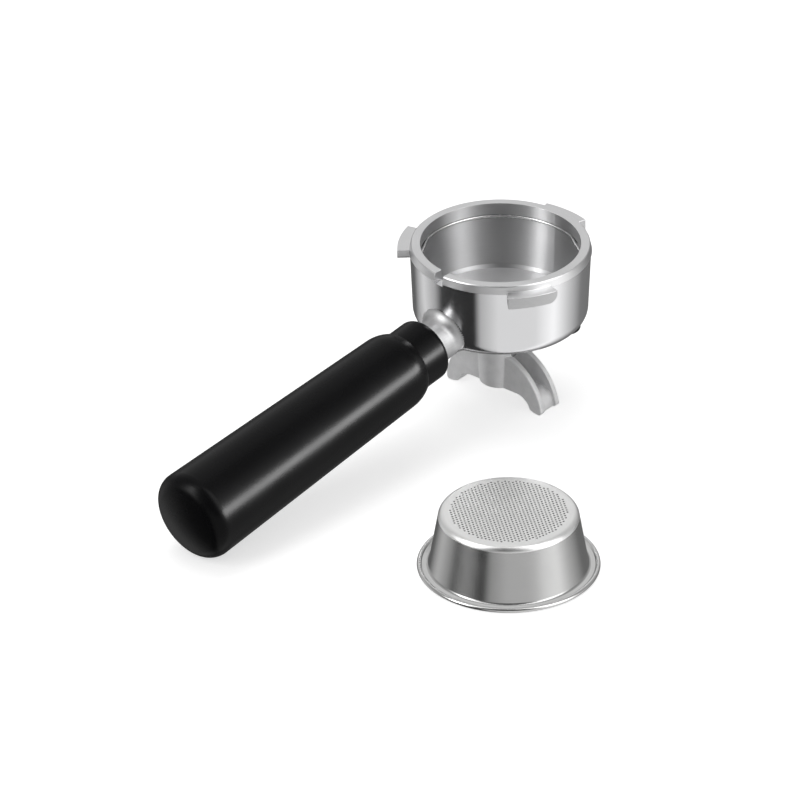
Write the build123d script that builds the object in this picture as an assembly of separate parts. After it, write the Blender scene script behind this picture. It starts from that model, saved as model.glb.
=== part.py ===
"""Espresso portafilter with a twin spout and its loose filter basket.

Millimetres, +Z up along the cup's axis. The origin is the centre of the basket
bore, at the top plane of the rim. The handle leaves the cup towards -X and the
two spout arms point along +Y and -Y.
"""
from build123d import *
import math
import os

# ---- cup ----
rim_radius = 35.8
rim_top_radius = 35.1
rim_band_height = 3.3
body_top_radius = 35.5
body_low_radius = 34.5
cup_height = 33.2
cup_corner = 6.0
bore_radius = 31.5
well_radius = 30.6
cup_floor = 5.3
well_corner = 1.2
well_lip_depth = 8.6
under_boss_radius = 12.0
under_boss_drop = 2.8
rim_notch_width = 4.3
rim_notch_depth = 4.4
rim_notch_reach = 6.0
edge_break = 0.35

# ---- bayonet lugs ----
lug_count = 3
lug_clocking = 1.5
lug_radius = 40.4
lug_arc = 29.0
lug_top = 2.4
lug_thickness = 4.8
lug_lead_radius = 3.6
lug_heel_radius = 0.8
lug_embed = 1.5

# ---- basket spring ----
wire_diameter = 1.1
groove_depth_below_rim = 5.8
groove_clearance = 0.2
wire_clearance = 0.03
spring_bisector = 45.0
spring_gap = 12.0
flat_offset = 76.5
flat_arc = 27.0
wire_bend = 4.0

# ---- handle ----
handle_above_bottom = 10.2
neck_radius = 8.75
neck_root = 8.0
neck_flare = 4.4
neck_face = 44.2
stud_diameter = 10.0
stud_start = 33.8
stud_length = 42.0
thread_clearance = 0.05
washer_thickness = 1.0
washer_radius = 8.3
collar_face = 42.3
collar_radius = 12.75
collar_length = 13.8
collar_edge = 2.9
step_fillet = 0.9
shoulder_length = 8.0
grip_front_radius = 15.7
grip_rear_radius = 18.3
handle_length = 179.5
grip_edge = 6.4
grip_crown = 1.6
insert_radius = 7.5
insert_length = 27.0
insert_setback = 3.0
neck_clearance = 0.35
insert_groove_count = 2
insert_groove_depth = 0.8
insert_groove_width = 2.4
stud_hole_clearance = 0.4
stud_hole_spare = 2.0
stud_chamfer = 1.0
washer_clearance = 0.1
washer_slit = 1.2

# ---- spout ----
nipple_radius = 6.55
nipple_bore = 4.4
nipple_inset = 1.4
nipple_reach = 13.0
gasket_thickness = 1.5
gasket_width = 3.0
nipple_chamfer = 0.5
hub_top_radius = 9.3
hub_low_radius = 8.3
rest_height = 67.0
spout_clocking = 4.0
right_arm_reach = 25.2
left_arm_reach = 22.8
channel_width = 7.0
blade_thickness = 2.2
channel_floor = 2.2
hub_floor_height = 5.9
crest_height = 20.2
crest_length = 9.6
brow_slope = 21.0
tip_radius = 1.6
foot_length = 4.2
heel_rise = 1.0
hollow_length = 6.9
running_clearance = 0.05
blade_edge = 0.4
spill_lip = 1.6
splitter_width = 5.2
splitter_height = 5.4
splitter_foot = 1.0

# ---- rest pads under the cup ----
pad_radius = 5.9
pad_circle = 26.2
pad_azimuth = 60.0
pad_proud = 2.4
pad_stem_radius = 2.0
pad_stem_length = 3.4
pad_round = 1.44

# ---- filter basket, lying upside down beside the cup ----
basket_flange_radius = 35.0
basket_mouth_radius = 30.4
basket_floor_radius = 27.0
basket_depth = 24.0
basket_wall = 0.6
basket_corner = 2.6
lip_bead = 0.85
lip_step = 0.6
lip_step_offset = 1.2
lip_step_width = 1.6
lip_step_slope = 0.3
bend_share = 0.29
hole_field_radius = 22.8
hole_pitch = 5.0
hole_diameter = 1.3
basket_x = -94.3
basket_y = -91.8


handle_axis_height = handle_above_bottom - cup_height
well_depth = cup_height - cup_floor


def resting_angle():
    """Drop of the handle, in degrees, that lays its rear edge on the surface under the spout tips."""
    along = handle_length - grip_crown - grip_edge
    across = grip_rear_radius - grip_edge
    drop = rest_height + handle_axis_height - grip_edge
    slope = math.asin(drop / math.hypot(along, across))
    return math.degrees(slope - math.atan2(across, along))


handle_drop_angle = resting_angle()
neck_bore_radius = stud_diameter / 2 + thread_clearance
hub_top = cup_height + under_boss_drop + gasket_thickness
hub_bottom = rest_height - hub_floor_height
arm_outer_width = channel_width + 2 * blade_thickness
handle_axis = Plane(
    origin=(0, 0, handle_axis_height),
    x_dir=(0, 1, 0),
    z_dir=(
        -math.cos(math.radians(handle_drop_angle)),
        0,
        -math.sin(math.radians(handle_drop_angle)),
    ),
)


def polar(radius, azimuth, height=0.0):
    """Point on a circle about the cup's axis, azimuth in degrees from +X."""
    angle = math.radians(azimuth)
    return (radius * math.cos(angle), radius * math.sin(angle), height)


def spin(outline):
    """Revolve a half outline, drawn in the XZ plane, about the Z axis."""
    face = make_face(Plane.XZ * outline)
    return revolve(face, Axis.Z)


def ring(outer, inner, low, high):
    """Flat ring between two heights."""
    body = Pos(0, 0, low) * Cylinder(outer, high - low, align=(Align.CENTER, Align.CENTER, Align.MIN))
    bore = Pos(0, 0, low) * Cylinder(inner, high - low, align=(Align.CENTER, Align.CENTER, Align.MIN))
    return body - bore


def post(radius, low, high):
    """Solid cylinder between two heights."""
    return Pos(0, 0, low) * Cylinder(radius, high - low, align=(Align.CENTER, Align.CENTER, Align.MIN))


def cup_outside():
    """Outer form of the cup: flared rim band, slightly tapered wall and rounded bottom."""
    wall_end = cup_corner - cup_height
    low_rim = -rim_band_height
    bottom_edge = body_low_radius - cup_corner
    side = [
        Line((0, 0), (rim_top_radius - edge_break, 0)),
        Line((rim_top_radius - edge_break, 0), (rim_top_radius, -edge_break)),
        Line((rim_top_radius, -edge_break), (rim_radius, low_rim)),
        Line((rim_radius, low_rim), (body_top_radius, low_rim)),
        Line((body_top_radius, low_rim), (body_low_radius, wall_end)),
        CenterArc((bottom_edge, wall_end), cup_corner, 0, -90),
        Line((bottom_edge, -cup_height), (0, -cup_height)),
        Line((0, -cup_height), (0, 0)),
    ]
    return spin(Curve() + side)


def neck():
    """Round boss that carries the handle, along the handle's axis."""
    return handle_axis.location * post(neck_radius, neck_root, neck_face)


def bayonet_lug():
    """One lug, centred on +X, with a round lead-in under its leading end."""
    foot = lug_top + lug_thickness
    body = ring(lug_radius, bore_radius + lug_embed, -foot, -lug_top)
    half = lug_arc / 2
    far = 2 * lug_radius
    wedge = Polyline((0, 0), polar(far, -half)[:2], polar(far, half)[:2], close=True)
    sector = Pos(0, 0, -foot) * extrude(make_face(wedge), lug_thickness)
    lug = body & sector
    lower = lug.edges().filter_by(GeomType.LINE).group_by(Axis.Z)[0]
    lead = lower.sort_by(Axis.Y)[-1]
    lug = fillet(lead, lug_lead_radius)
    lower = lug.edges().filter_by(GeomType.LINE).group_by(Axis.Z)[0]
    heel = lower.sort_by(Axis.Y)[0]
    return fillet(heel, lug_heel_radius)


def cup_well():
    """Space inside the cup: basket bore, then a slightly narrower well with a round corner."""
    floor = -well_depth
    lip = -well_lip_depth
    side = [
        Line((0, 1), (bore_radius, 1)),
        Line((bore_radius, 1), (bore_radius, lip)),
        Line((bore_radius, lip), (well_radius, floor + well_corner)),
        Line((well_radius, floor + well_corner), (well_radius - well_corner, floor)),
        Line((well_radius - well_corner, floor), (0, floor)),
        Line((0, floor), (0, 1)),
    ]
    return spin(Curve() + side)


def spring_groove():
    """Round groove in the bore for the basket spring."""
    radius = wire_diameter / 2 + groove_clearance
    path_plane = Pos(0, 0, -groove_depth_below_rim)
    return path_plane * Torus(bore_radius, radius)


def pad_sites():
    """Places of the two rest pads under the cup."""
    return [Pos(*polar(pad_circle, side * pad_azimuth)) for side in (-1, 1)]


def make_cup():
    """Forged cup with its lugs and neck in one piece."""
    shell = cup_outside() + neck()
    seam = shell.edges().filter_by(GeomType.BSPLINE) + shell.edges().filter_by(GeomType.ELLIPSE)
    shell = fillet(seam, neck_flare)
    shell += post(under_boss_radius, -cup_height - under_boss_drop, -cup_height)
    for index in range(lug_count):
        turn = lug_clocking + index * 360 / lug_count
        shell += Rot(0, 0, turn) * bayonet_lug()
    shell -= cup_well()
    shell -= spring_groove()
    notch = Box(
        rim_radius,
        rim_notch_width,
        2 * rim_notch_depth,
        align=(Align.MAX, Align.CENTER, Align.CENTER),
    )
    shell -= Pos(rim_notch_reach - bore_radius, 0, 0) * notch
    shell -= post(nipple_radius + running_clearance, -cup_height - under_boss_drop, -well_depth)
    stud_hole = post(neck_bore_radius, stud_start, neck_face)
    shell -= handle_axis.location * stud_hole
    for site in pad_sites():
        stem_top = -cup_height + pad_stem_length
        shell -= site * post(pad_stem_radius + running_clearance, -cup_height, stem_top)
    return shell


def spring_path():
    """Open ring in the groove, with a flat on each side that grips the basket."""
    radius = bore_radius + groove_clearance - wire_clearance
    start = spring_bisector - 180 + spring_gap / 2
    flats = (spring_bisector - flat_offset, spring_bisector + flat_offset)
    end = spring_bisector + 180 - spring_gap / 2
    pieces = []
    here = start
    for middle in flats:
        enter = middle - flat_arc / 2
        leave = middle + flat_arc / 2
        pieces.append(CenterArc((0, 0), radius, here, enter - here))
        pieces.append(Line(polar(radius, enter)[:2], polar(radius, leave)[:2]))
        here = leave
    pieces.append(CenterArc((0, 0), radius, here, end - here))
    path = Wire(pieces)
    corners = path.vertices().sort_by_distance(path @ 0)[2:]
    path = fillet(corners, wire_bend)
    return Pos(0, 0, -groove_depth_below_rim) * path


def make_spring():
    """Wire basket spring."""
    path = spring_path()
    section = Plane(origin=path @ 0, z_dir=path % 0) * Circle(wire_diameter / 2)
    return sweep(section, path=path)


def make_pads():
    """Rubber rest pads, fitted against the cup's bottom, with stems pushed into the cup."""
    bottom = -cup_height - pad_proud
    pads = []
    for site in pad_sites():
        button = site * post(pad_radius, bottom, cup_corner - cup_height)
        button = button - cup_outside()
        rim = button.edges().group_by(Axis.Z)[0]
        button = fillet(rim, pad_round)
        stem = site * post(pad_stem_radius, -cup_height, -cup_height + pad_stem_length)
        pads.append(button + stem)
    return Compound(pads)


def grip_outline():
    """Half outline of the grip along the handle's axis: collar, step, shoulder, taper and domed end."""
    step = collar_face + collar_length
    foot = collar_radius + step_fillet
    shoulder_end = step + shoulder_length
    edge_out = grip_rear_radius - grip_edge
    edge_along = handle_length - grip_crown - grip_edge
    dome_angle = 2 * math.degrees(math.atan2(grip_crown, edge_out))
    dome_radius = grip_edge + edge_out / math.sin(math.radians(dome_angle))
    face_end = collar_radius - collar_edge
    outline = [
        Line((0, collar_face), (face_end, collar_face)),
        CenterArc((face_end, collar_face + collar_edge), collar_edge, -90, 90),
        Line((collar_radius, collar_face + collar_edge), (collar_radius, step - step_fillet)),
        CenterArc((foot, step - step_fillet), step_fillet, 180, -90),
        TangentArc((grip_front_radius, shoulder_end), (foot, step), tangent=(0, -1)),
        Line((grip_front_radius, shoulder_end), (grip_rear_radius, edge_along)),
        CenterArc((edge_out, edge_along), grip_edge, 0, 90 - dome_angle),
        CenterArc((0, handle_length - dome_radius), dome_radius, 90 - dome_angle, dome_angle),
        Line((0, handle_length), (0, collar_face)),
    ]
    return Curve() + outline


def insert_span():
    """Start and end of the threaded insert along the handle's axis."""
    start = neck_face + washer_thickness + insert_setback
    return start, start + insert_length


def make_grip():
    """Black moulded grip, with a counterbore for the neck and a bore for the insert."""
    grip = spin(grip_outline())
    seat = neck_face + washer_thickness
    grip -= post(neck_radius + neck_clearance, collar_face, seat)
    start, end = insert_span()
    hole_end = stud_start + stud_length + stud_hole_spare
    grip -= post(neck_bore_radius + stud_hole_clearance, seat, hole_end)
    grip -= post(insert_radius + thread_clearance, start, end)
    return handle_axis.location * grip


def make_insert():
    """Brass threaded bush moulded into the grip, with retaining grooves."""
    start, end = insert_span()
    bush = ring(insert_radius, neck_bore_radius, start, end)
    half = insert_groove_width / 2
    for index in range(insert_groove_count):
        middle = start + (index + 1) * insert_length / (insert_groove_count + 1)
        groove_floor = insert_radius - insert_groove_depth
        bush -= ring(insert_radius + 1, groove_floor, middle - half, middle + half)
    return handle_axis.location * bush


def make_stud():
    """Steel stud that joins the neck to the insert, with chamfered ends."""
    stud = post(stud_diameter / 2, stud_start, stud_start + stud_length)
    ends = stud.edges().filter_by(GeomType.CIRCLE)
    return handle_axis.location * chamfer(ends, stud_chamfer)


def make_washer():
    """Split spring washer between the neck and the grip."""
    washer_bore = neck_bore_radius + washer_clearance
    washer = ring(washer_radius, washer_bore, neck_face, neck_face + washer_thickness)
    slit = Pos(washer_radius, 0, neck_face) * Box(2 * washer_radius, washer_slit, 4 * washer_thickness)
    return handle_axis.location * (washer - slit)


def make_nipple():
    """Hollow threaded nipple between the cup's floor and the spout's hub."""
    top = -well_depth - nipple_inset
    low = -hub_top - nipple_reach
    nipple = ring(nipple_radius, nipple_bore, low, top)
    ends = nipple.edges().filter_by(GeomType.CIRCLE)
    return chamfer(ends, nipple_chamfer)


def make_gasket():
    """Flat sealing ring clamped between the cup and the hub."""
    inner = nipple_radius + running_clearance
    return ring(inner + gasket_width, inner, -hub_top, -hub_top + gasket_thickness)


def arm_side(reach):
    """Side outline of one arm: level crest, falling brow, round tip, foot and hollow."""
    crest = crest_height - rest_height
    under = -hub_bottom
    low = -rest_height
    crest_end = (crest_length, crest)
    tip_start = (reach, low + tip_radius)
    tip_end = (reach - tip_radius, low)
    heel = (tip_end[0] - foot_length, low + heel_rise)
    hollow_end = (heel[0] - hollow_length, under)
    fall = math.radians(brow_slope)
    outline = [
        Line((0, under), (0, crest)),
        Line((0, crest), crest_end),
        TangentArc(crest_end, tip_start, tangent=(math.cos(fall), -math.sin(fall))),
        CenterArc((tip_end[0], tip_start[1]), tip_radius, 0, -90),
        TangentArc(tip_end, heel, tangent=(-1, 0)),
        TangentArc(hollow_end, heel, tangent=(1, 0)),
        Line(hollow_end, (0, under)),
    ]
    return make_face(Curve() + outline)


def channel_side(reach):
    """Side outline of the space between the blades of one arm, down to the channel's floor."""
    above = crest_height - rest_height + 1
    floor = channel_floor - hub_bottom
    beyond = reach + 1
    start = nipple_bore / 2
    low = -rest_height
    spill = (reach - spill_lip, low)
    landing = (spill[0] - hollow_length, floor)
    outline = [
        Line((start, floor), (start, above)),
        Line((start, above), (beyond, above)),
        Line((beyond, above), (beyond, low)),
        Line((beyond, low), spill),
        TangentArc(landing, spill, tangent=(1, 0)),
        Line(landing, (start, floor)),
    ]
    return make_face(Curve() + outline)


def arm_plate(face, width):
    """Thicken a side outline about the arm's middle plane."""
    return extrude(Plane.YZ * face, width / 2, both=True)


def arm_blank(reach):
    """Solid arm with its upper edges rounded, before the channel is cut."""
    blank = arm_plate(arm_side(reach), arm_outer_width)
    flanks = blank.faces().sort_by(Axis.X)
    rims = flanks[0].edges() + flanks[-1].edges()
    above_floor = channel_floor - hub_bottom
    upper = [rim for rim in rims if (rim @ 0.5).Z > above_floor and (rim @ 0.5).Y > blade_edge]
    return fillet(upper, blade_edge)


def make_spout():
    """Cast twin spout: tapered hub, two open channels between blades, and a splitter inside."""
    low = -hub_bottom
    top = -hub_top
    hub = Pos(0, 0, (low + top) / 2) * Cone(hub_low_radius, hub_top_radius, top - low)
    spout = hub + arm_blank(left_arm_reach)
    spout += mirror(arm_blank(right_arm_reach), Plane.XZ)
    spout -= arm_plate(channel_side(left_arm_reach), channel_width)
    spout -= mirror(arm_plate(channel_side(right_arm_reach), channel_width), Plane.XZ)
    spout -= post(nipple_radius + running_clearance, -hub_top - nipple_reach, top)
    spout -= post(nipple_bore, low + channel_floor, top)
    foot = low + splitter_foot
    half = splitter_width / 2
    ridge = Polyline((-half, foot), (half, foot), (0, foot + splitter_height), close=True)
    splitter = extrude(Plane.YZ * make_face(ridge), nipple_bore, both=True)
    spout += splitter
    return Rot(0, 0, spout_clocking) * spout


def basket_outline():
    """Closed half outline of the sheet: floor, tapered wall, stepped flange and rolled lip."""
    mouth = -rest_height
    floor_top = mouth + basket_depth
    inner_floor = basket_floor_radius - basket_wall
    bead_middle = basket_flange_radius - lip_bead
    step_start = basket_mouth_radius + lip_step_offset
    step_end = step_start + lip_step_width
    bend = basket_corner * bend_share
    outline = Polyline(
        (0, floor_top),
        (basket_floor_radius - basket_corner, floor_top),
        (basket_floor_radius - bend, floor_top - bend),
        (basket_floor_radius, floor_top - basket_corner),
        (basket_mouth_radius, mouth + 2 * basket_wall + lip_step),
        (step_start, mouth + basket_wall + lip_step),
        (step_end, mouth + basket_wall + lip_step),
        (step_end + lip_step_slope, mouth + basket_wall),
        (bead_middle - lip_bead, mouth + basket_wall),
        (bead_middle - 0.5 * lip_bead, mouth + 1.87 * lip_bead),
        (bead_middle + 0.5 * lip_bead, mouth + 1.87 * lip_bead),
        (basket_flange_radius, mouth + lip_bead),
        (basket_flange_radius - 0.4 * lip_bead, mouth),
        (basket_mouth_radius, mouth),
        (inner_floor, floor_top - basket_corner),
        (inner_floor - bend, floor_top - basket_wall - bend),
        (inner_floor - basket_corner, floor_top - basket_wall),
        (0, floor_top - basket_wall),
        close=True,
    )
    return outline


def hole_places():
    """Centres of the floor's holes: rows in a triangular pattern inside the hole field."""
    rows = int(hole_field_radius / hole_pitch) + 2
    row_gap = hole_pitch * math.sqrt(3) / 2
    places = []
    for row in range(-rows, rows + 1):
        for column in range(-rows, rows + 1):
            x = (column + (row % 2) / 2) * hole_pitch
            y = row * row_gap
            if math.hypot(x, y) <= hole_field_radius - hole_diameter / 2:
                places.append((x, y))
    return places


def make_basket():
    """Pressed filter basket with its perforated floor, mouth down."""
    basket = spin(basket_outline())
    floor_top = basket_depth - rest_height
    drill = post(hole_diameter / 2, floor_top - 2 * basket_wall, floor_top + basket_wall)
    holes = [Pos(x, y, 0) * drill for x, y in hole_places()]
    basket = basket - holes
    return Pos(basket_x, basket_y, 0) * basket


parts = {
    "cup_body": make_cup(),
    "basket_spring": make_spring(),
    "rest_pads": make_pads(),
    "spout_nipple": make_nipple(),
    "spout_gasket": make_gasket(),
    "twin_spout": make_spout(),
    "handle_stud": make_stud(),
    "grip_insert": make_insert(),
    "neck_washer": make_washer(),
    "handle_grip": make_grip(),
    "filter_basket": make_basket(),
}

os.makedirs("parts", exist_ok=True)
for name, shape in parts.items():
    export_step(shape, f"parts/{name}.step")
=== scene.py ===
"""Looks of an espresso portafilter and its loose filter basket, laid out as an add-on.

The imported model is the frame. Metal, rubber and moulding finishes go on its pieces,
and the basket and the nipple are replaced by finer surfaces worked out with numpy.
"""

import math

import bmesh
import bpy
import numpy as np
from bpy.props import FloatProperty, FloatVectorProperty, IntProperty, PointerProperty
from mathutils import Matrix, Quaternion, Vector
from mathutils.geometry import delaunay_2d_cdt


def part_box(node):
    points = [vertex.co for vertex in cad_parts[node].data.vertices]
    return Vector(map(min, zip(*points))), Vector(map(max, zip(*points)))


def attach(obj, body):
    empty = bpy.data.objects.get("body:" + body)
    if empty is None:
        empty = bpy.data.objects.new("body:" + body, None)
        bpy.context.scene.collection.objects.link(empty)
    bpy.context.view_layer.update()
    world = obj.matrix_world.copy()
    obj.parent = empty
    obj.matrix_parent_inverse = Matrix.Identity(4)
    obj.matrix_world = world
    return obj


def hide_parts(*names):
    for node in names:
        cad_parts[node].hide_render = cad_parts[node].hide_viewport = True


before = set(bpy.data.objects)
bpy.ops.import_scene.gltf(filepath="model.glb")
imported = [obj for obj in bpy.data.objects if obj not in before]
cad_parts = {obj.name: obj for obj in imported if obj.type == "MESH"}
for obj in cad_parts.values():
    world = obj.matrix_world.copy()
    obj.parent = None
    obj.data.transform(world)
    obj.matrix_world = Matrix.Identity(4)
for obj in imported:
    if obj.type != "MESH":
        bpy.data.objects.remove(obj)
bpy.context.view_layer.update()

bl_info = {
    "name": "Portafilter Looks",
    "version": (1, 0, 0),
    "blender": (4, 5, 0),
    "location": "3D View > Sidebar > Portafilter",
    "description": "Finishes, fine sheet work and a plain studio for an espresso portafilter",
    "category": "Object",
}

MM = 0.001
MICRON = MM / 1000
TAU = 2 * math.pi
QUARTER_TURN = 0.25

basket_low, basket_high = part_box("filter_basket")
nipple_low, nipple_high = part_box("spout_nipple")
floor_height = basket_low.z

# The stage's floor lies this far under what stands on it
FLOOR_GAP = 0.05 * MM


# ---- sizes and colours ----

class CupSizes(bpy.types.PropertyGroup):
    """Sizes of the cup that part its finishes."""

    band_height: FloatProperty(
        name="Band", description="Height of the band under the rim",
        default=3.3 * MM, unit="LENGTH")
    wall_top_radius: FloatProperty(
        name="Wall top", description="Radius of the wall under the band",
        default=35.5 * MM, unit="LENGTH")
    wall_low_radius: FloatProperty(
        name="Wall end", description="Radius where the bottom's round edge starts",
        default=34.5 * MM, unit="LENGTH")
    wall_end: FloatProperty(
        name="Wall depth", description="Depth of that place under the rim",
        default=27.2 * MM, unit="LENGTH")
    bore_radius: FloatProperty(
        name="Bore", description="Radius of the bore", default=31.5 * MM, unit="LENGTH")
    bore_depth: FloatProperty(
        name="Bore depth", description="Depth that holds the whole well",
        default=30.0 * MM, unit="LENGTH")
    floor_depth: FloatProperty(
        name="Floor depth", description="Depth under which the well's floor lies",
        default=27.6 * MM, unit="LENGTH")
    lug_start: FloatProperty(
        name="Lug start", description="How far out of the wall a lug's side starts",
        default=1.0 * MM, unit="LENGTH")
    neck_top: FloatProperty(
        name="Neck top", description="Depth under the rim where the neck's flare starts",
        default=8.0 * MM, unit="LENGTH")
    neck_half: FloatProperty(
        name="Neck", description="Half width of the neck with its flare",
        default=14.0 * MM, unit="LENGTH")


class GripSizes(bpy.types.PropertyGroup):
    """Line of the grip's axis, which ends at the middle of its domed end."""

    length: FloatProperty(
        name="Length", description="From the cup's axis to the end",
        default=179.5 * MM, unit="LENGTH")
    axis_height: FloatProperty(
        name="Axis height", description="Height of the axis where it meets the cup's own",
        default=-23.0 * MM, unit="LENGTH")
    drop: FloatProperty(
        name="Drop", description="Slope of the axis", default=math.radians(8.665), unit="ROTATION")
    flat: FloatProperty(
        name="Flat", description="Radius of the dome's middle that is shaded flat",
        default=2.4 * MM, unit="LENGTH")


class BasketSizes(bpy.types.PropertyGroup):
    """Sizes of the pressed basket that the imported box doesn't give."""

    sheet: FloatProperty(
        name="Sheet", description="Thickness of the sheet", default=0.6 * MM, unit="LENGTH")
    hole_diameter: FloatProperty(
        name="Hole", description="Diameter of one punched hole", default=0.84 * MM, unit="LENGTH")
    hole_pitch: FloatProperty(
        name="Pitch", description="Distance between neighbouring holes",
        default=1.57 * MM, unit="LENGTH")
    field_radius: FloatProperty(
        name="Field", description="Radius of the punched field", default=22.6 * MM, unit="LENGTH")
    row_turn: FloatProperty(
        name="Row turn", description="Turn of the hole rows",
        default=math.radians(-6.5), unit="ROTATION")
    floor_radius: FloatProperty(
        name="Floor", description="Radius of the floor over its round edge",
        default=27.0 * MM, unit="LENGTH")
    mouth_radius: FloatProperty(
        name="Mouth", description="Radius of the wall at the flange",
        default=30.4 * MM, unit="LENGTH")
    corner: FloatProperty(
        name="Corner", description="Radius of the floor's round edge",
        default=2.6 * MM, unit="LENGTH")
    root: FloatProperty(
        name="Root", description="Radius between wall and flange", default=1.0 * MM, unit="LENGTH")
    inner_root: FloatProperty(
        name="Inner root", description="The same inside the basket",
        default=0.5 * MM, unit="LENGTH")
    ring_width: FloatProperty(
        name="Ring", description="From the mouth to the edge of the flange's raised ring",
        default=2.5 * MM, unit="LENGTH")
    step: FloatProperty(
        name="Step", description="Height of that ring", default=0.5 * MM, unit="LENGTH")
    crease: FloatProperty(
        name="Crease", description="Radius of the ring's edges", default=0.35 * MM, unit="LENGTH")
    groove_inset: FloatProperty(
        name="Groove", description="From the flange's edge to its groove",
        default=1.95 * MM, unit="LENGTH")
    bead: FloatProperty(
        name="Bead", description="Radius of the rolled lip", default=0.9 * MM, unit="LENGTH")
    hole_sides: IntProperty(
        name="Hole sides", description="Corners of one hole's outline", default=10)
    around: IntProperty(
        name="Around", description="Divisions round the basket", default=240)


class ThreadSizes(bpy.types.PropertyGroup):
    """Sizes of the nipple's thread."""

    pitch: FloatProperty(
        name="Pitch", description="Distance between two turns", default=1.34 * MM, unit="LENGTH")
    depth: FloatProperty(
        name="Depth", description="Depth of the thread", default=0.75 * MM, unit="LENGTH")
    bore: FloatProperty(
        name="Bore", description="Radius of the coffee way", default=4.4 * MM, unit="LENGTH")
    around: IntProperty(
        name="Around", description="Divisions round the nipple", default=96)


def colour_property(name, description, default):
    """A colour with its swatch in the sidebar."""
    return FloatVectorProperty(
        name=name, description=description, default=default,
        size=3, min=0, max=1, subtype="COLOR")


class Colours(bpy.types.PropertyGroup):
    """Colours of the finishes."""

    polished: colour_property("Polished", "Mirror polished wall", (0.80, 0.80, 0.81))
    satin: colour_property("Satin", "Turned rim, lugs and neck", (0.73, 0.73, 0.735))
    bore: colour_property("Bore", "Brushed inside of the cup", (0.58, 0.58, 0.585))
    cast: colour_property("Cast", "Blasted casting of the spout", (0.80, 0.80, 0.805))
    sheet: colour_property("Sheet", "Pressed sheet of the basket", (0.66, 0.66, 0.655))
    steel: colour_property("Steel", "Wire, nipple and stud", (0.70, 0.70, 0.70))
    moulding: colour_property("Moulding", "Black handle", (0.003, 0.003, 0.0033))
    rubber: colour_property("Rubber", "Black rubber", (0.010, 0.010, 0.010))
    brass: colour_property("Brass", "Threaded insert", (0.72, 0.52, 0.22))
    floor: colour_property("Floor", "Studio floor", (0.62, 0.62, 0.62))


class Studio(bpy.types.PropertyGroup):
    """Camera and light of the stage."""

    floor_side: FloatProperty(
        name="Floor", description="From the floor's middle to its sides",
        default=6.0, unit="LENGTH")
    floor_glow: FloatProperty(
        name="Floor glow", description="How far the camera sees the floor lifted to white",
        default=0.62, min=0, max=1, subtype="FACTOR")
    world_level: FloatProperty(
        name="World", description="Light from all round on matt surfaces", default=0.55)
    azimuth: FloatProperty(
        name="Azimuth", description="Camera's turn round the part, from straight in front",
        default=math.radians(-46.32), unit="ROTATION")
    elevation: FloatProperty(
        name="Elevation", description="Camera's height above the horizon",
        default=math.radians(30.43), unit="ROTATION")
    roll: FloatProperty(
        name="Roll", description="Camera's turn about its own axis",
        default=math.radians(-0.38), unit="ROTATION")
    distance: FloatProperty(
        name="Distance", description="From the aim point to the camera",
        default=3.125, unit="LENGTH")
    lens: FloatProperty(
        name="Lens", description="Focal length in millimetres", default=360.0, unit="CAMERA")
    reach: FloatProperty(
        name="Reach", description="How far the camera sees", default=20.0, unit="LENGTH")
    aim: FloatVectorProperty(
        name="Aim", description="Point that the camera looks at",
        default=(-0.0499, 0.0072, -0.0528), size=3, subtype="TRANSLATION", unit="LENGTH")


SETTINGS = {
    "cup_sizes": CupSizes,
    "grip_sizes": GripSizes,
    "basket_sizes": BasketSizes,
    "thread_sizes": ThreadSizes,
    "finish_colours": Colours,
    "studio": Studio,
}


# ---- node trees ----

# Kinds of the Mix node, in the order of its sockets
MIX_KINDS = ("FLOAT", "VECTOR", "RGBA")


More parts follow.
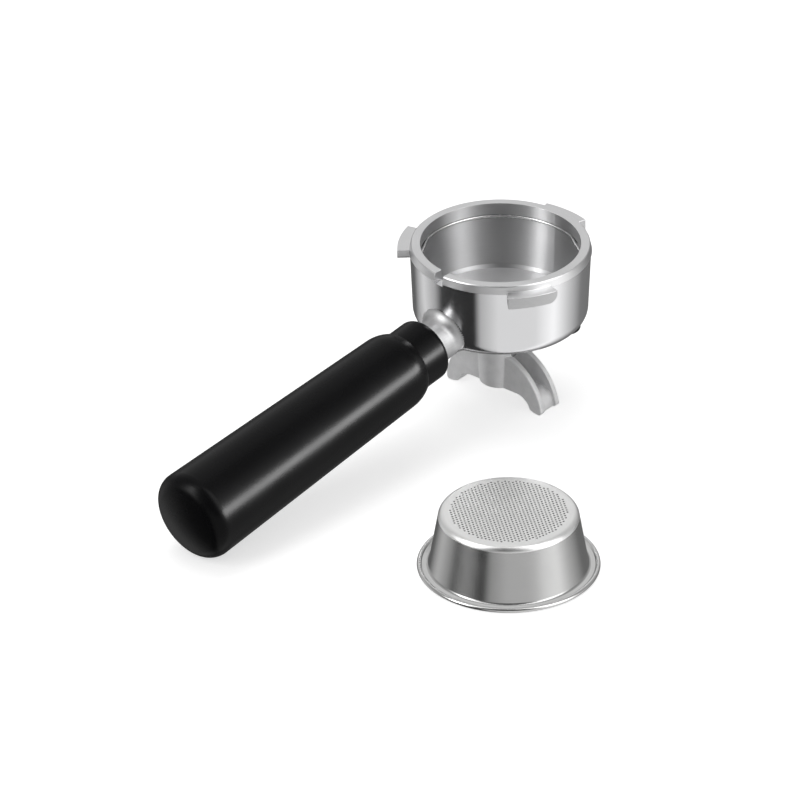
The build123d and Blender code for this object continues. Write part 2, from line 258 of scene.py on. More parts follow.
class Nodes:
    """One node tree, with short calls for its nodes."""

    def __init__(self, tree, output):
        self.tree = tree
        self.tree.nodes.clear()
        self.output = self.add(output)
        self.place = self.add("TexCoord").outputs["Object"]

    def add(self, kind, inputs=None, **settings):
        """A node, its settings, and its inputs as numbers or as links."""
        node = self.tree.nodes.new("ShaderNode" + kind)
        for key, value in settings.items():
            setattr(node, key, value)
        for key, value in (inputs or {}).items():
            if isinstance(value, bpy.types.NodeSocket):
                self.tree.links.new(value, node.inputs[key])
            else:
                node.inputs[key].default_value = value
        return node

    def math(self, operation, first, second=0.0):
        """One step of arithmetic."""
        return self.add("Math", {0: first, 1: second}, operation=operation).outputs[0]

    def vector(self, operation, first, second=(0.0, 0.0, 0.0), output="Vector"):
        """One step of arithmetic with vectors; output is Vector or Value."""
        node = self.add("VectorMath", {0: first, 1: second}, operation=operation)
        return node.outputs[output]

    def ramp(self, value, low, high, start=0.0, end=1.0):
        """Value taken from low..high to start..end, with soft ends."""
        node = self.add(
            "MapRange",
            {"Value": value, "From Min": low, "From Max": high, "To Min": start, "To Max": end},
            interpolation_type="SMOOTHSTEP")
        return node.outputs["Result"]

    def stretch(self, vector, scale):
        """Vector with each part scaled by itself."""
        return self.vector("MULTIPLY", vector, scale)

    def noise(self, vector, scale, detail=3.0, rough=0.55):
        """Grey noise."""
        inputs = {"Vector": vector, "Scale": scale, "Detail": detail, "Roughness": rough}
        return self.add("TexNoise", inputs).outputs["Fac"]

    def bump(self, height, distance, strength=1.0, normal=None):
        """Normal raised by a height, distance in metres."""
        inputs = {"Height": height, "Distance": distance, "Strength": strength}
        if normal is not None:
            inputs["Normal"] = normal
        return self.add("Bump", inputs).outputs["Normal"]

    def mix(self, kind, factor, first, second):
        """What lies between two numbers (FLOAT), directions (VECTOR) or colours (RGBA)."""
        place = MIX_KINDS.index(kind)
        inputs = {"Factor": factor, 2 * place + 2: first, 2 * place + 3: second}
        return self.add("Mix", inputs, data_type=kind).outputs[place]

    def tint(self, factor, dark, light):
        """Colour between dark and light."""
        return self.mix("RGBA", factor, (*dark, 1.0), (*light, 1.0))

    def blend(self, factor, first, second):
        """Number that goes from first to second with the factor."""
        return self.mix("FLOAT", factor, first, second)


class Finish(Nodes):
    """One procedural material."""

    def __init__(self, name):
        self.material = bpy.data.materials.new(name)
        self.material.use_nodes = True
        super().__init__(self.material.node_tree, "OutputMaterial")

    def edge_highlight(self, radius, start=0.995, full=0.93):
        """Normal rounded over edges, and how strongly each place takes the painted edge highlight,
        from 0 to 1.

        The painted highlight starts and is full where the cosine between that normal and the flat one
        is as given.
        """
        soft = self.add("Bevel", {"Radius": radius}, samples=4).outputs[0]
        flat = self.add("NewGeometry").outputs["Normal"]
        cosine = self.vector("DOT_PRODUCT", soft, flat, "Value")
        return soft, self.ramp(cosine, start, full)

    def paint_highlight(self, factor, colour, bright):
        """Colour that goes to a brighter one with the factor: the painted edge highlight."""
        return self.mix("RGBA", factor, colour, (*bright, 1.0))

    def around_axis(self, centre=(0.0, 0.0)):
        """Radius, turn and height about an upright axis, and the direction round it."""
        shifted = self.vector("ADD", self.place, (-centre[0], -centre[1], 0.0))
        x, y, z = self.add("SeparateXYZ", {0: shifted}).outputs
        square = self.math("ADD", self.math("MULTIPLY", x, x), self.math("MULTIPLY", y, y))
        radius = self.math("SQRT", square)
        turn = self.math("ARCTAN2", y, x)
        round_it = self.add("CombineXYZ", {0: self.math("MULTIPLY", y, -1.0), 1: x}).outputs[0]
        return radius, turn, z, self.vector("NORMALIZE", round_it)

    def turned_grain(self, radius, turn, z, scale=5400.0, round_scale=1.6):
        """Fine lines left by a lathe.

        They are noise over radius and height, which hardly changes round the axis.
        """
        line = self.add("CombineXYZ", {
            0: self.math("MULTIPLY", radius, scale),
            1: self.math("MULTIPLY", z, scale),
            2: self.math("MULTIPLY", turn, round_scale)})
        return self.noise(line.outputs[0], 1.0, detail=4.0, rough=0.7)

    def surface(self, colour, roughness, normal=None, tangent=None, **sockets):
        """The finished surface; numbers that are the same all over go straight to their sockets."""
        inputs = {"Roughness": roughness}
        if isinstance(colour, bpy.types.NodeSocket):
            inputs["Base Color"] = colour
        else:
            inputs["Base Color"] = (*colour, 1.0)
        if normal is not None:
            inputs["Normal"] = normal
        if tangent is not None:
            inputs["Tangent"] = tangent
            inputs["Anisotropic Rotation"] = QUARTER_TURN
        for key, value in sockets.items():
            inputs[key.replace("_", " ")] = value
        shader = self.add("BsdfPrincipled", inputs)
        self.tree.links.new(shader.outputs[0], self.output.inputs[0])
        return self.material


def scaled(colour, factor):
    """A colour made darker or lighter."""
    return tuple(min(1.0, part * factor) for part in colour)


# ---- finishes ----

def polished_finish(colours):
    """Mirror polish with faint buffing lines and soft clouding."""
    finish = Finish("polished_wall")
    radius, turn, z, tangent = finish.around_axis()
    grain = finish.turned_grain(radius, turn, z, 3000.0)
    cloud = finish.noise(finish.place, 60.0)
    rough = finish.ramp(cloud, 0.3, 0.7, 0.13, 0.16)
    normal = finish.bump(grain, 2 * MICRON, 0.25)
    colour = finish.tint(cloud, scaled(colours.polished, 0.96), colours.polished)
    return finish.surface(colour, rough, normal, tangent, Metallic=1.0, Anisotropic=0.9)


def satin_finish(colours):
    """Turned satin metal of the rim, band and lugs, with a painted highlight along its edges."""
    finish = Finish("satin_rim")
    radius, turn, z, tangent = finish.around_axis()
    grain = finish.turned_grain(radius, turn, z)
    cloud = finish.noise(finish.place, 90.0)
    rough = finish.ramp(cloud, 0.3, 0.7, 0.30, 0.38)
    soft, edge = finish.edge_highlight(0.0003)
    normal = finish.bump(grain, 6 * MICRON, 0.35, soft)
    plain = finish.tint(grain, scaled(colours.satin, 0.92), scaled(colours.satin, 1.06))
    # Painted highlight: the colour goes to a brighter satin along the rounded edges
    colour = finish.paint_highlight(edge, plain, scaled(colours.satin, 1.3))
    return finish.surface(colour, rough, normal, tangent, Metallic=1.0, Anisotropic=0.3)


def lug_side_finish(colours):
    """Milled sides of the lugs, rougher than the turned rim, with their colour painted darker as
    shade and a painted highlight along their edges.
    """
    finish = Finish("milled_lug_side_painted_shade")
    lines = finish.noise(finish.stretch(finish.place, (400.0, 400.0, 3000.0)), 1.0, 3.0)
    soft, edge = finish.edge_highlight(0.0004)
    normal = finish.bump(lines, 8 * MICRON, 0.4, soft)
    # Painted shade: the upright sides take a darker copy of the rim's satin
    plain = finish.tint(lines, scaled(colours.satin, 0.62), scaled(colours.satin, 0.82))
    # Painted highlight along the rounded edges
    colour = finish.paint_highlight(edge, plain, scaled(colours.satin, 1.25))
    rough = finish.ramp(lines, 0.3, 0.7, 0.36, 0.46)
    return finish.surface(colour, rough, normal, Metallic=1.0)


def well_floor_finish(colours):
    """Turned floor of the well, with a matt skin whose colour is painted lighter than the bore's, as
    light falling from above.
    """
    finish = Finish("turned_well_floor")
    radius, turn, z, tangent = finish.around_axis()
    grain = finish.turned_grain(radius, turn, z)
    rough = finish.ramp(grain, 0.25, 0.75, 0.38, 0.48)
    normal = finish.bump(grain, 8 * MICRON, 0.4)
    # Painted light: the floor takes a lighter copy of the bore's colour
    colour = finish.tint(grain, scaled(colours.bore, 1.35), scaled(colours.bore, 1.6))
    return finish.surface(colour, rough, normal, tangent, Metallic=0.8, Anisotropic=0.4)


def bore_finish(colours):
    """Circular brushing inside the cup."""
    finish = Finish("brushed_bore")
    radius, turn, z, tangent = finish.around_axis()
    grain = finish.turned_grain(radius, turn, z)
    rough = finish.ramp(grain, 0.25, 0.75, 0.36, 0.46)
    normal = finish.bump(grain, 8 * MICRON, 0.5)
    colour = finish.tint(grain, scaled(colours.bore, 0.86), scaled(colours.bore, 1.05))
    return finish.surface(colour, rough, normal, tangent, Metallic=1.0, Anisotropic=0.95)


def neck_finish(colours):
    """Satin neck, machined and then rubbed along its length."""
    finish = Finish("satin_neck")
    rubbed = finish.noise(finish.stretch(finish.place, (220.0, 1600.0, 1600.0)), 1.0, 4.0, 0.65)
    cloud = finish.noise(finish.place, 140.0)
    rough = finish.ramp(cloud, 0.3, 0.7, 0.44, 0.52)
    normal = finish.bump(rubbed, 8 * MICRON, 0.4)
    colour = finish.tint(rubbed, scaled(colours.satin, 0.60), scaled(colours.satin, 0.85))
    return finish.surface(colour, rough, normal, Metallic=1.0)


def cast_finish(colours):
    """Blasted casting: fine pits, soft mottling, and smoother edges with a painted highlight."""
    finish = Finish("blasted_casting")
    pits = finish.noise(finish.place, 3200.0, 3.0, 0.6)
    mottle = finish.noise(finish.place, 260.0, 4.0, 0.6)
    soft, edge = finish.edge_highlight(0.0007)
    normal = finish.bump(pits, 30 * MICRON, 0.35, soft)
    normal = finish.bump(mottle, 50 * MICRON, 0.2, normal)
    plain = finish.tint(mottle, scaled(colours.cast, 0.86), scaled(colours.cast, 1.12))
    # Painted highlight: the colour goes brighter along the rounded edges
    colour = finish.paint_highlight(edge, plain, scaled(colours.cast, 1.4))
    rough = finish.ramp(edge, 0.0, 1.0, 0.60, 0.42)
    return finish.surface(colour, rough, normal, Metallic=0.5)


def steel_finish(colours):
    """Bright turned or drawn steel."""
    finish = Finish("bright_steel")
    lines = finish.noise(finish.stretch(finish.place, (500.0, 500.0, 2600.0)), 1.0, 3.0)
    rough = finish.ramp(lines, 0.3, 0.7, 0.16, 0.28)
    normal = finish.bump(lines, 6 * MICRON, 0.4)
    colour = finish.tint(lines, scaled(colours.steel, 0.9), scaled(colours.steel, 1.08))
    return finish.surface(colour, rough, normal, Metallic=1.0)


def brass_finish(colours):
    """Machined brass with a little tarnish."""
    finish = Finish("machined_brass")
    cloud = finish.noise(finish.place, 300.0)
    rough = finish.ramp(cloud, 0.3, 0.7, 0.22, 0.34)
    colour = finish.tint(cloud, scaled(colours.brass, 0.8), colours.brass)
    return finish.surface(colour, rough, finish.bump(cloud, 10 * MICRON, 0.3), Metallic=1.0)


def moulding_finish(colours, grip):
    """Black moulding: a faint orange peel and slightly uneven gloss."""
    finish = Finish("black_moulding")
    peel = finish.noise(finish.place, 700.0, 2.0, 0.5)
    cloud = finish.noise(finish.place, 45.0, 3.0, 0.5)
    rough = finish.ramp(cloud, 0.3, 0.7, 0.25, 0.29)
    run = grip.length * math.cos(grip.drop)
    fall = grip.length * math.sin(grip.drop)
    away = finish.vector("DISTANCE", finish.place, (-run, 0.0, grip.axis_height - fall), "Value")
    faces = finish.add("NewGeometry").outputs
    off_pole = finish.ramp(away, grip.flat / 2, grip.flat)
    dome = finish.mix("VECTOR", off_pole, faces["True Normal"], faces["Normal"])
    normal = finish.bump(peel, 10 * MICRON, 0.12, dome)
    colour = finish.tint(cloud, scaled(colours.moulding, 0.8), scaled(colours.moulding, 1.2))
    return finish.surface(colour, rough, normal, Specular_IOR_Level=0.08)


def rubber_finish(colours):
    """Moulded black rubber with a dry, grained skin."""
    finish = Finish("black_rubber")
    grain = finish.noise(finish.place, 1800.0, 3.0, 0.6)
    rough = finish.ramp(grain, 0.3, 0.7, 0.55, 0.72)
    colour = finish.tint(grain, scaled(colours.rubber, 0.75), scaled(colours.rubber, 1.3))
    normal = finish.bump(grain, 30 * MICRON, 0.3)
    return finish.surface(colour, rough, normal, Specular_IOR_Level=0.35)


def basket_finishes(colours, centre):
    """Pressed sheet: satin floor, brushed wall, bright flange, and the walls of the holes painted
    dark as shade.
    """
    made = []
    # Name, tone, roughness from and to, anisotropy and strength of the grain
    kinds = (
        ("satin_sheet", 1.40, (0.32, 0.42), 0.2, 0.35),
        ("brushed_sheet", 0.80, (0.25, 0.27), 0.7, 0.3),
        ("bright_sheet", 1.0, (0.14, 0.22), 0.3, 0.3),
        # The walls of the holes have a low tone: painted shade inside the holes
        ("hole_wall_painted_shade", 0.25, (0.50, 0.60), 0.0, 0.3))
    for name, tone, gloss, anisotropy, strength in kinds:
        finish = Finish(name)
        radius, turn, z, tangent = finish.around_axis(centre)
        grain = finish.turned_grain(radius, turn, z)
        cloud = finish.noise(finish.place, 110.0)
        rough = finish.ramp(cloud, 0.3, 0.7, *gloss)
        normal = finish.bump(grain, 6 * MICRON, strength)
        colour = finish.tint(
            grain, scaled(colours.sheet, 0.92 * tone), scaled(colours.sheet, 1.04 * tone))
        made.append(finish.surface(
            colour, rough, normal, tangent, Metallic=1.0, Anisotropic=anisotropy))
    return made


# ---- meshes ----

def grid_faces(rows, columns, closed_rows=False):
    """Quads of a grid whose points run row by row, with its last column joined to the first."""
    row = np.arange(rows if closed_rows else rows - 1)
    row, column = np.meshgrid(row, np.arange(columns), indexing="ij")
    below = (row + 1) % rows
    beside = (column + 1) % columns
    faces = np.stack([
        row * columns + column, row * columns + beside,
        below * columns + beside, below * columns + column], axis=-1)
    return faces.reshape(-1, 4)


def turned(profile, around, centre=(0.0, 0.0)):
    """Lathe surface: a profile's point (r, z) goes to (r cos t, r sin t, z), for t all round."""
    turn = np.arange(around) * TAU / around
    radius = profile[:, 0:1]
    x = centre[0] + radius * np.cos(turn)
    y = centre[1] + radius * np.sin(turn)
    z = np.broadcast_to(profile[:, 1:2], x.shape)
    return np.stack([x, y, z], axis=-1).reshape(-1, 3)


def arc(centre, radius, start, end, steps):
    """Points on an arc, angles in degrees."""
    angle = np.radians(np.linspace(start, end, steps + 1))
    spokes = np.stack([np.cos(angle), np.sin(angle)], axis=-1)
    return np.array(centre) + radius * spokes


def make_piece(name, points, faces, materials, material_index=None, sharp=30.0):
    """A mesh object from arrays, with doubles merged, normals outwards and its materials."""
    mesh = bpy.data.meshes.new(name)
    mesh.from_pydata(points.tolist(), [], [list(face) for face in faces])
    for material in materials:
        mesh.materials.append(material)
    if material_index is not None:
        mesh.polygons.foreach_set("material_index", np.asarray(material_index, dtype=np.int32))
    work = bmesh.new()
    work.from_mesh(mesh)
    bmesh.ops.remove_doubles(work, verts=work.verts, dist=2 * MICRON)
    bmesh.ops.recalc_face_normals(work, faces=work.faces)
    work.to_mesh(mesh)
    work.free()
    mesh.shade_smooth()
    mesh.set_sharp_from_angle(angle=math.radians(sharp))
    piece = bpy.data.objects.new(name, mesh)
    bpy.context.scene.collection.objects.link(piece)
    return piece


# Asks for all triangles within the hull, and how near two points count as one
WHOLE_HULL = 0
SAME_POINT = 1e-9


def hole_centres(sizes):
    """Hole places: points a*u + b*v of two directions 60 degrees apart, kept inside the field."""
    reach = int(sizes.field_radius / sizes.hole_pitch) + 3
    steps = np.arange(-2 * reach, 2 * reach + 1)
    first, second = np.meshgrid(steps, steps, indexing="ij")
    x = (first + second / 2) * sizes.hole_pitch
    y = second * math.sqrt(3) / 2 * sizes.hole_pitch
    inside = np.hypot(x, y) < sizes.field_radius
    x, y = x[inside], y[inside]
    cosine, sine = math.cos(sizes.row_turn), math.sin(sizes.row_turn)
    return np.stack([x * cosine - y * sine, x * sine + y * cosine], axis=-1)


def pierced_disc(sizes, rim_radius):
    """Flat disc with holes.

    Delaunay triangles over the rim and all hole outlines, less those inside a hole.
    """
    centres = hole_centres(sizes)
    sides = sizes.hole_sides
    turn = np.arange(sides) * TAU / sides
    outline = sizes.hole_diameter / 2 * np.stack([np.cos(turn), np.sin(turn)], axis=-1)
    holes = (centres[:, None, :] + outline[None, :, :]).reshape(-1, 2)
    turn = np.arange(sizes.around) * TAU / sizes.around
    rim = rim_radius * np.stack([np.cos(turn), np.sin(turn)], axis=-1)
    flat = np.concatenate([rim, holes])
    owner = np.concatenate([
        np.full(sizes.around, -1), np.repeat(np.arange(len(centres)), sides)])
    start = sizes.around + np.arange(len(centres))[:, None] * sides
    ring = np.arange(sides)[None, :]
    hole_edges = np.stack([start + ring, start + (ring + 1) % sides], axis=-1).reshape(-1, 2)
    rim_ring = np.arange(sizes.around)
    rim_edges = np.stack([rim_ring, (rim_ring + 1) % sizes.around], axis=-1)
    edges = np.concatenate([rim_edges, hole_edges])
    solved = delaunay_2d_cdt(
        [Vector(point) for point in flat], edges.tolist(), [], WHOLE_HULL, SAME_POINT)
    if len(solved[0]) != len(flat):
        raise RuntimeError("the holes of the basket's floor overlap")
    triangles = np.array(solved[2])
    own = owner[triangles]
    in_hole = (own[:, 0] >= 0) & (own[:, 0] == own[:, 1]) & (own[:, 1] == own[:, 2])
    return flat, triangles[~in_hole], hole_edges


# Divisions of the basket's round edge, the root of its flange, the small radii and the lip
EDGE_STEPS = 8
ROOT_STEPS = 6
CREASE_STEPS = 4
BEAD_STEPS = 14

# Finishes of the basket, in the order that basket_finishes gives
SATIN, BRUSHED, BRIGHT, SHADED_HOLES = range(4)


def basket_profiles(sizes, flange_radius, low, high):
    """Outer and inner half outlines of the sheet, from the pierced floor to the rolled lip."""
    mouth = sizes.mouth_radius
    root = sizes.root
    crease = sizes.crease
    bead = sizes.bead
    edge = sizes.floor_radius - sizes.corner
    edge_height = high - sizes.corner
    slope = math.degrees(math.atan2(mouth - sizes.floor_radius, edge_height - low))
    flange_top = low + sizes.sheet
    ring_top = flange_top + sizes.step
    groove = flange_radius - sizes.groove_inset
    outer = [
        arc((edge, edge_height), sizes.corner, 90, slope, EDGE_STEPS),
        arc((mouth + root, ring_top + root), root, 180 + slope, 270, ROOT_STEPS),
        arc((mouth + sizes.ring_width, ring_top - crease), crease, 90, 20, CREASE_STEPS),
        arc((groove, flange_top + crease), crease, 200, 290, CREASE_STEPS),
        arc((flange_radius - bead, low + bead), bead, 135, -90, BEAD_STEPS)]
    inner_root = sizes.inner_root
    inner = [
        arc((mouth + inner_root, low + inner_root), inner_root, 270, 180 + slope, CREASE_STEPS),
        arc((edge, edge_height), sizes.corner - sizes.sheet, slope, 90, EDGE_STEPS)]
    return np.concatenate(outer), np.concatenate(inner)


def basket_piece(sizes, materials, centre, flange_radius, low, high):
    """Pressed basket: lathe walls joined to a pierced floor, with the holes' own walls."""
    outer, inner = basket_profiles(sizes, flange_radius, low, high)
    profile = np.concatenate([outer, inner])
    points = turned(profile, sizes.around, centre)
    faces = [list(face) for face in grid_faces(len(profile), sizes.around)]
    row_material = np.full(len(profile) - 1, BRUSHED)
    row_material[:EDGE_STEPS] = SATIN
    row_material[EDGE_STEPS + 1 + ROOT_STEPS:len(outer)] = BRIGHT
    index = np.repeat(row_material, sizes.around)
    edge = sizes.floor_radius - sizes.corner
    flat, triangles, hole_edges = pierced_disc(sizes, edge)
    flat = flat + np.array(centre)
    count = len(flat)
    base = len(points)
    top = np.column_stack([flat, np.full(count, high)])
    bottom = np.column_stack([flat, np.full(count, high - sizes.sheet)])
    first, second = hole_edges[:, 0], hole_edges[:, 1]
    walls = np.stack([first, second, second + count, first + count], axis=-1)
    points = np.concatenate([points, top, bottom])
    faces += (triangles + base).tolist()
    faces += (triangles[:, ::-1] + base + count).tolist()
    faces += (walls + base).tolist()
    index = np.concatenate([
        index, np.full(2 * len(triangles), SATIN), np.full(len(walls), SHADED_HOLES)])
    return make_piece("pressed_basket", points, faces, materials, index)


# The thread's wave: rows over one turn, its height before it is cut at 1, and how fast it falls
ROWS_PER_TURN = 12
WAVE_PEAK = 1.25
WAVE_SLOPE = 3.0


def nipple_piece(sizes, material, radius, low, high):
    """Threaded nipple.

    The radius falls by the depth times a cut triangle wave of height over pitch less turn,
    and the thread runs out at both ends.
    """
    rows = int((high - low) / sizes.pitch * ROWS_PER_TURN)
    height = np.linspace(low, high, rows)
    turn = np.arange(sizes.around) * TAU / sizes.around
    height, turn = np.meshgrid(height, turn, indexing="ij")
    phase = (height / sizes.pitch - turn / TAU) % 1.0
    groove = np.clip(WAVE_PEAK - np.abs(phase - 0.5) * WAVE_SLOPE, 0.0, 1.0)
    end = np.minimum(height - low, high - height)
    whole = np.clip(end / sizes.pitch, 0.0, 1.0)
    outer = radius - sizes.depth * np.maximum(groove, 1.0 - whole)
    wall = np.stack([outer * np.cos(turn), outer * np.sin(turn), height], axis=-1).reshape(-1, 3)
    bore = turned(np.array([[sizes.bore, high], [sizes.bore, low]]), sizes.around)
    points = np.concatenate([wall, bore])
    faces = grid_faces(rows + 2, sizes.around, closed_rows=True)
    return make_piece("threaded_nipple", points, faces, [material], sharp=50.0)


# ---- helpers for the frame's own pieces ----

# A face whose normal has less of the upright than this counts as a side
STEEPEST_TOP = 0.7

# How far the middle of a face may lie off the wall, the bore and the rim that it belongs to
WALL_SLACK = 0.05 * MM
BORE_SLACK = 0.2 * MM
RIM_SLACK = 0.4 * MM


def dress(node, materials, index=None):
    """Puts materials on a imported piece; index gives one per face."""
    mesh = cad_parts[node].data
    mesh.materials.clear()
    for material in materials:
        mesh.materials.append(material)
    if index is not None:
        mesh.polygons.foreach_set("material_index", np.asarray(index, dtype=np.int32))
    mesh.update()


def face_values(node, name):
    """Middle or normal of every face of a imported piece, as an array."""
    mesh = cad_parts[node].data
    values = np.zeros(3 * len(mesh.polygons))
    mesh.polygons.foreach_get(name, values)
    return values.reshape(-1, 3)


WALL, RIM, BORE, NECK, LUG_SIDE, WELL_FLOOR = range(6)


def cup_zones(sizes):
    """Zone of every face of the cup, by its radius, its height and how upright it is."""
    centres = face_values("cup_body", "center")
    upright = np.abs(face_values("cup_body", "normal")[:, 2]) < STEEPEST_TOP
    radius = np.hypot(centres[:, 0], centres[:, 1])
    height = centres[:, 2]
    depth = np.clip(-height, sizes.band_height, sizes.wall_end)
    along = (depth - sizes.band_height) / (sizes.wall_end - sizes.band_height)
    taper = sizes.wall_low_radius - sizes.wall_top_radius
    wall = sizes.wall_top_radius + taper * along + WALL_SLACK
    zone = np.full(len(centres), WALL)
    zone[(radius > wall) | (height > -sizes.band_height - WALL_SLACK)] = RIM
    zone[(zone == RIM) & upright & (radius > sizes.wall_top_radius + sizes.lug_start)] = LUG_SIDE
    zone[(radius < sizes.bore_radius + BORE_SLACK) & (height > -sizes.bore_depth)] = BORE
    zone[(zone == BORE) & (height < -sizes.floor_depth)] = WELL_FLOOR
    zone[height > -RIM_SLACK] = RIM
    by_neck = (centres[:, 0] < 0) & (np.abs(centres[:, 1]) < sizes.neck_half)
    zone[by_neck & (height < -sizes.neck_top) & (radius > wall)] = NECK
    return zone


# ---- operators ----

class DressCup(bpy.types.Operator):
    """Polished wall, satin rim, brushed bore and satin neck, with the pads and seal"""

    bl_idname = "portafilter.dress_cup"
    bl_label = "Dress Cup"

    def execute(self, context):
        colours = context.scene.finish_colours
        makers = {
            WALL: polished_finish, RIM: satin_finish, BORE: bore_finish,
            NECK: neck_finish, LUG_SIDE: lug_side_finish, WELL_FLOOR: well_floor_finish}
        finishes = [makers[zone](colours) for zone in sorted(makers)]
        dress("cup_body", finishes, cup_zones(context.scene.cup_sizes))
        rubber = rubber_finish(colours)
        dress("rest_pads", [rubber])
        dress("spout_gasket", [rubber])
        return {"FINISHED"}


class DressSteel(bpy.types.Operator):
    """Bright steel for the wire, the stud and the washer, and the threaded nipple"""

    bl_idname = "portafilter.dress_steel"
    bl_label = "Dress Steel"

    def execute(self, context):
        steel = steel_finish(context.scene.finish_colours)
        for node in ("basket_spring", "handle_stud", "neck_washer"):
            dress(node, [steel])
        nipple = nipple_piece(
            context.scene.thread_sizes, steel, nipple_high.x, nipple_low.z, nipple_high.z)
        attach(nipple, "holder")
        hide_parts("spout_nipple")
        return {"FINISHED"}


class DressSpout(bpy.types.Operator):
    """Blasted casting for the twin spout"""

    bl_idname = "portafilter.dress_spout"
    bl_label = "Dress Spout"

    def execute(self, context):
        dress("twin_spout", [cast_finish(context.scene.finish_colours)])
        return {"FINISHED"}


class DressHandle(bpy.types.Operator):
    """Black moulding for the grip and brass for its insert"""

    bl_idname = "portafilter.dress_handle"
    bl_label = "Dress Handle"

    def execute(self, context):
        colours = context.scene.finish_colours
        dress("handle_grip", [moulding_finish(colours, context.scene.grip_sizes)])
        # The polished wall keeps one even dark strip beside the neck, so it doesn't mirror these
        for node in ("handle_grip", "grip_insert", "handle_stud", "neck_washer"):
            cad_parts[node].visible_glossy = False
        dress("grip_insert", [brass_finish(colours)])
        return {"FINISHED"}


class MakeBasket(bpy.types.Operator):
    """Pressed basket with its pierced floor"""

    bl_idname = "portafilter.make_basket"
    bl_label = "Make Basket"

    def execute(self, context):
        centre = ((basket_low.x + basket_high.x) / 2, (basket_low.y + basket_high.y) / 2)
        radius = (basket_high.x - basket_low.x) / 2
        finishes = basket_finishes(context.scene.finish_colours, centre)
        basket = basket_piece(
            context.scene.basket_sizes, finishes, centre, radius, basket_low.z, basket_high.z)
        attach(basket, "basket")
        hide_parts("filter_basket")
        basket.visible_glossy = False
        return {"FINISHED"}


def place_facing(thing, aim, azimuth, elevation, distance, roll=0.0):
    """Puts a lamp or the camera at a distance from the aim point, and turns it to face that."""
    level = math.cos(elevation)
    away = Vector((math.cos(azimuth) * level, math.sin(azimuth) * level, math.sin(elevation)))
    thing.location = aim + away * distance
    thing.rotation_mode = "QUATERNION"
    thing.rotation_quaternion = (-away).to_track_quat("-Z", "Y") @ Quaternion((0, 0, 1), roll)


# Lamps: name, azimuth and elevation in degrees, distance, width, height, power, the rays that see
# it (those of matt or of shiny surfaces), and the one piece that it lights, or None for all
LAMPS = (
    ("top_box", 60, 70, 1.6, 1.2, 1.2, 11.0, "DIFFUSE", None),
    ("left_box", 170, 35, 1.5, 0.5, 1.2, 5.0, "DIFFUSE", None),
    ("left_strip", 161, 32, 1.3, 0.26, 0.8, 5.0, "GLOSSY", None),
    ("grip_strip", -58, 13, 1.1, 0.9, 0.3, 32.0, "GLOSSY", "handle_grip"),
)


def soft_box(aim, name, azimuth, elevation, distance, width, height, power, rays, only):
    """One of the lamps, a rectangle that faces the aim point."""
    light = bpy.data.lights.new(name, "AREA")
    light.shape = "RECTANGLE"
    light.size = width
    light.size_y = height
    light.energy = power
    lamp = bpy.data.objects.new(name, light)
    place_facing(lamp, aim, math.radians(azimuth), math.radians(elevation), distance)
    lamp.visible_camera = False
    lamp.visible_diffuse = rays != "GLOSSY"
    lamp.visible_glossy = rays != "DIFFUSE"
    bpy.context.scene.collection.objects.link(lamp)
    if only is not None:
        group = bpy.data.collections.new(name + "_lights")
        group.objects.link(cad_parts[only])
        lamp.light_linking.receiver_collection = group


def floor_material(colours, glow_level):
    """Pale floor that keeps the shadow and is white to the camera where it is lit."""
    finish = Finish("studio_floor")
    cloud = finish.noise(finish.place, 3.0)
    colour = finish.tint(cloud, scaled(colours.floor, 0.995), colours.floor)
    rays = finish.add("LightPath").outputs
    shine = finish.math("MULTIPLY", rays["Is Camera Ray"], glow_level)
    paint = finish.add("BsdfDiffuse", {"Color": colour})
    glow = finish.add("Emission", {"Color": (1, 1, 1, 1), "Strength": shine})
    both = finish.add("AddShader", {0: paint.outputs[0], 1: glow.outputs[0]})
    finish.tree.links.new(both.outputs[0], finish.output.inputs[0])
    return finish.material


# Light and dark cards round the stage, seen by shiny surfaces alone: (azimuth in degrees, level).
# There is a ring under the horizon and one over it, and they join between two heights of a ray.
LOW_CARDS = (
    (-180, 0.03), (-172, 0.03), (-164, 0.52), (-140, 0.84), (-90, 0.84), (-62, 1.22),
    (-36, 0.68), (-8, 0.22), (75, 0.12), (104, 0.80), (116, 0.62), (128, 0.44),
    (139, 0.05), (160, 0.03), (180, 0.03),
)
HIGH_CARDS = (
    (-180, 0.25), (-150, 0.10), (-112, 0.12), (-99, 0.5), (-87, 3.0), (-60, 3.0),
    (-46, 0.40), (0, 0.45), (30, 0.78), (60, 0.78), (118, 0.35), (136, 0.45),
    (146, 2.3), (169, 2.3), (180, 0.25),
)
RING_JOIN = (-0.05, 0.2)


def surround(world, plain):
    """World: white to the camera, even to matt surfaces, and two rings of cards to shiny ones."""
    nodes = Nodes(world.node_tree, "OutputWorld")
    x, y, z = nodes.add("SeparateXYZ", {0: nodes.place}).outputs
    turn = nodes.math("ADD", nodes.math("DIVIDE", nodes.math("ARCTAN2", y, x), TAU), 0.5)
    rings = []
    for cards in (LOW_CARDS, HIGH_CARDS):
        ring = nodes.add("ValToRGB", {"Fac": turn})
        stops = ring.color_ramp.elements
        while len(stops) < len(cards):
            stops.new(0.5)
        for stop, (azimuth, level) in zip(stops, cards):
            stop.position = azimuth / 360 + 0.5
            stop.color = (level, level, level, 1.0)
        rings.append(ring.outputs["Color"])
    shine = nodes.blend(nodes.ramp(z, *RING_JOIN), *rings)
    rays = nodes.add("LightPath").outputs
    level = nodes.blend(rays["Is Glossy Ray"], plain, shine)
    level = nodes.blend(rays["Is Camera Ray"], level, 1.0)
    sky = nodes.add("Background", {"Color": (1.0, 1.0, 1.0, 1.0), "Strength": level})
    nodes.tree.links.new(sky.outputs[0], nodes.output.inputs[0])


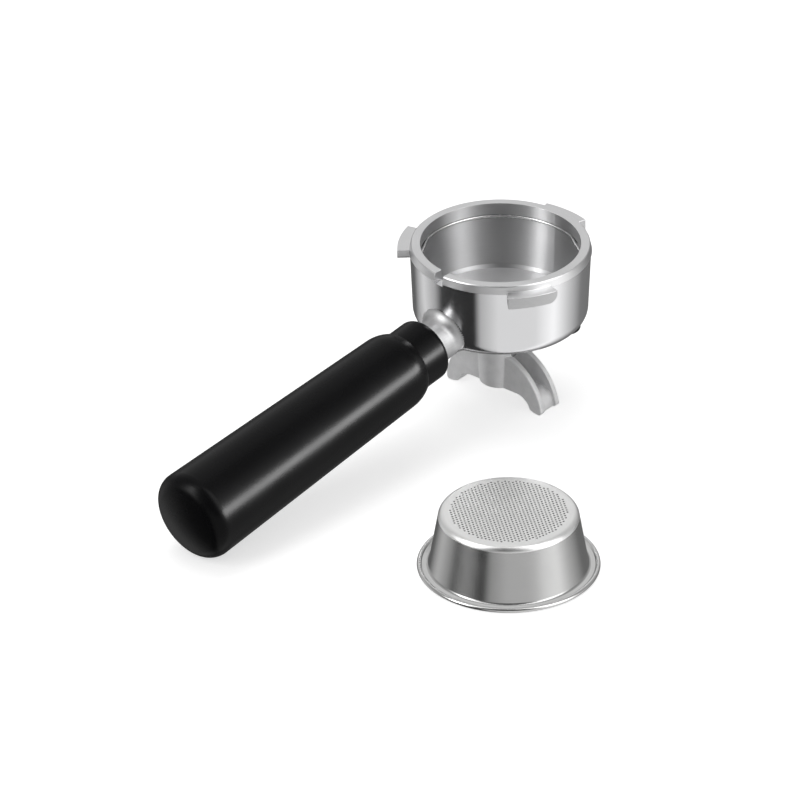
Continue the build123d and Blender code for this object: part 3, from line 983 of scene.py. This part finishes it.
class BuildStudio(bpy.types.Operator):
    """Floor, light and camera"""

    bl_idname = "portafilter.build_studio"
    bl_label = "Build Studio"

    def execute(self, context):
        scene = context.scene
        studio = scene.studio
        material = floor_material(scene.finish_colours, studio.floor_glow)
        side = studio.floor_side
        corners = np.array([[-side, -side], [side, -side], [side, side], [-side, side]])
        points = np.column_stack([corners, np.full(4, floor_height - FLOOR_GAP)])
        mesh = bpy.data.meshes.new("studio_floor")
        mesh.from_pydata(points.tolist(), [], [[0, 1, 2, 3]])
        mesh.materials.append(material)
        floor = bpy.data.objects.new("studio_floor", mesh)
        scene.collection.objects.link(floor)
        floor.visible_glossy = False

        world = bpy.data.worlds.new("studio_world")
        scene.world = world
        world.use_nodes = True
        surround(world, studio.world_level)

        aim = Vector(studio.aim)
        for lamp in LAMPS:
            soft_box(aim, *lamp)

        camera = bpy.data.objects.new("camera", bpy.data.cameras.new("camera"))
        scene.collection.objects.link(camera)
        place_facing(
            camera, aim, studio.azimuth - math.pi / 2, studio.elevation, studio.distance, studio.roll)
        camera.data.lens = studio.lens
        camera.data.clip_end = studio.reach
        scene.camera = camera
        scene.view_settings.view_transform = "Standard"
        return {"FINISHED"}


class LooksPanel(bpy.types.Panel):
    """Sizes, colours and steps of the portafilter"""

    bl_idname = "VIEW3D_PT_portafilter"
    bl_label = "Portafilter"
    bl_space_type = "VIEW_3D"
    bl_region_type = "UI"
    bl_category = "Portafilter"

    def draw(self, context):
        for step in STEPS:
            self.layout.operator(step.bl_idname)
        for name, group in SETTINGS.items():
            box = self.layout.box()
            box.label(text=name.replace("_", " ").title())
            settings = getattr(context.scene, name)
            for key in group.__annotations__:
                box.prop(settings, key)


STEPS = (DressCup, DressSteel, DressSpout, DressHandle, MakeBasket, BuildStudio)


def register():
    """Adds the classes and their settings."""
    for group in SETTINGS.values():
        bpy.utils.register_class(group)
    for step in STEPS:
        bpy.utils.register_class(step)
    bpy.utils.register_class(LooksPanel)
    for name, group in SETTINGS.items():
        setattr(bpy.types.Scene, name, PointerProperty(type=group))


def unregister():
    """Takes the classes and their settings away."""
    for name in SETTINGS:
        delattr(bpy.types.Scene, name)
    bpy.utils.unregister_class(LooksPanel)
    for step in reversed(STEPS):
        bpy.utils.unregister_class(step)
    for group in reversed(SETTINGS.values()):
        bpy.utils.unregister_class(group)


def main():
    """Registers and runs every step."""
    register()
    bpy.ops.portafilter.dress_cup()
    bpy.ops.portafilter.dress_steel()
    bpy.ops.portafilter.dress_spout()
    bpy.ops.portafilter.dress_handle()
    bpy.ops.portafilter.make_basket()
    bpy.ops.portafilter.build_studio()


if __name__ == "__main__":
    main()
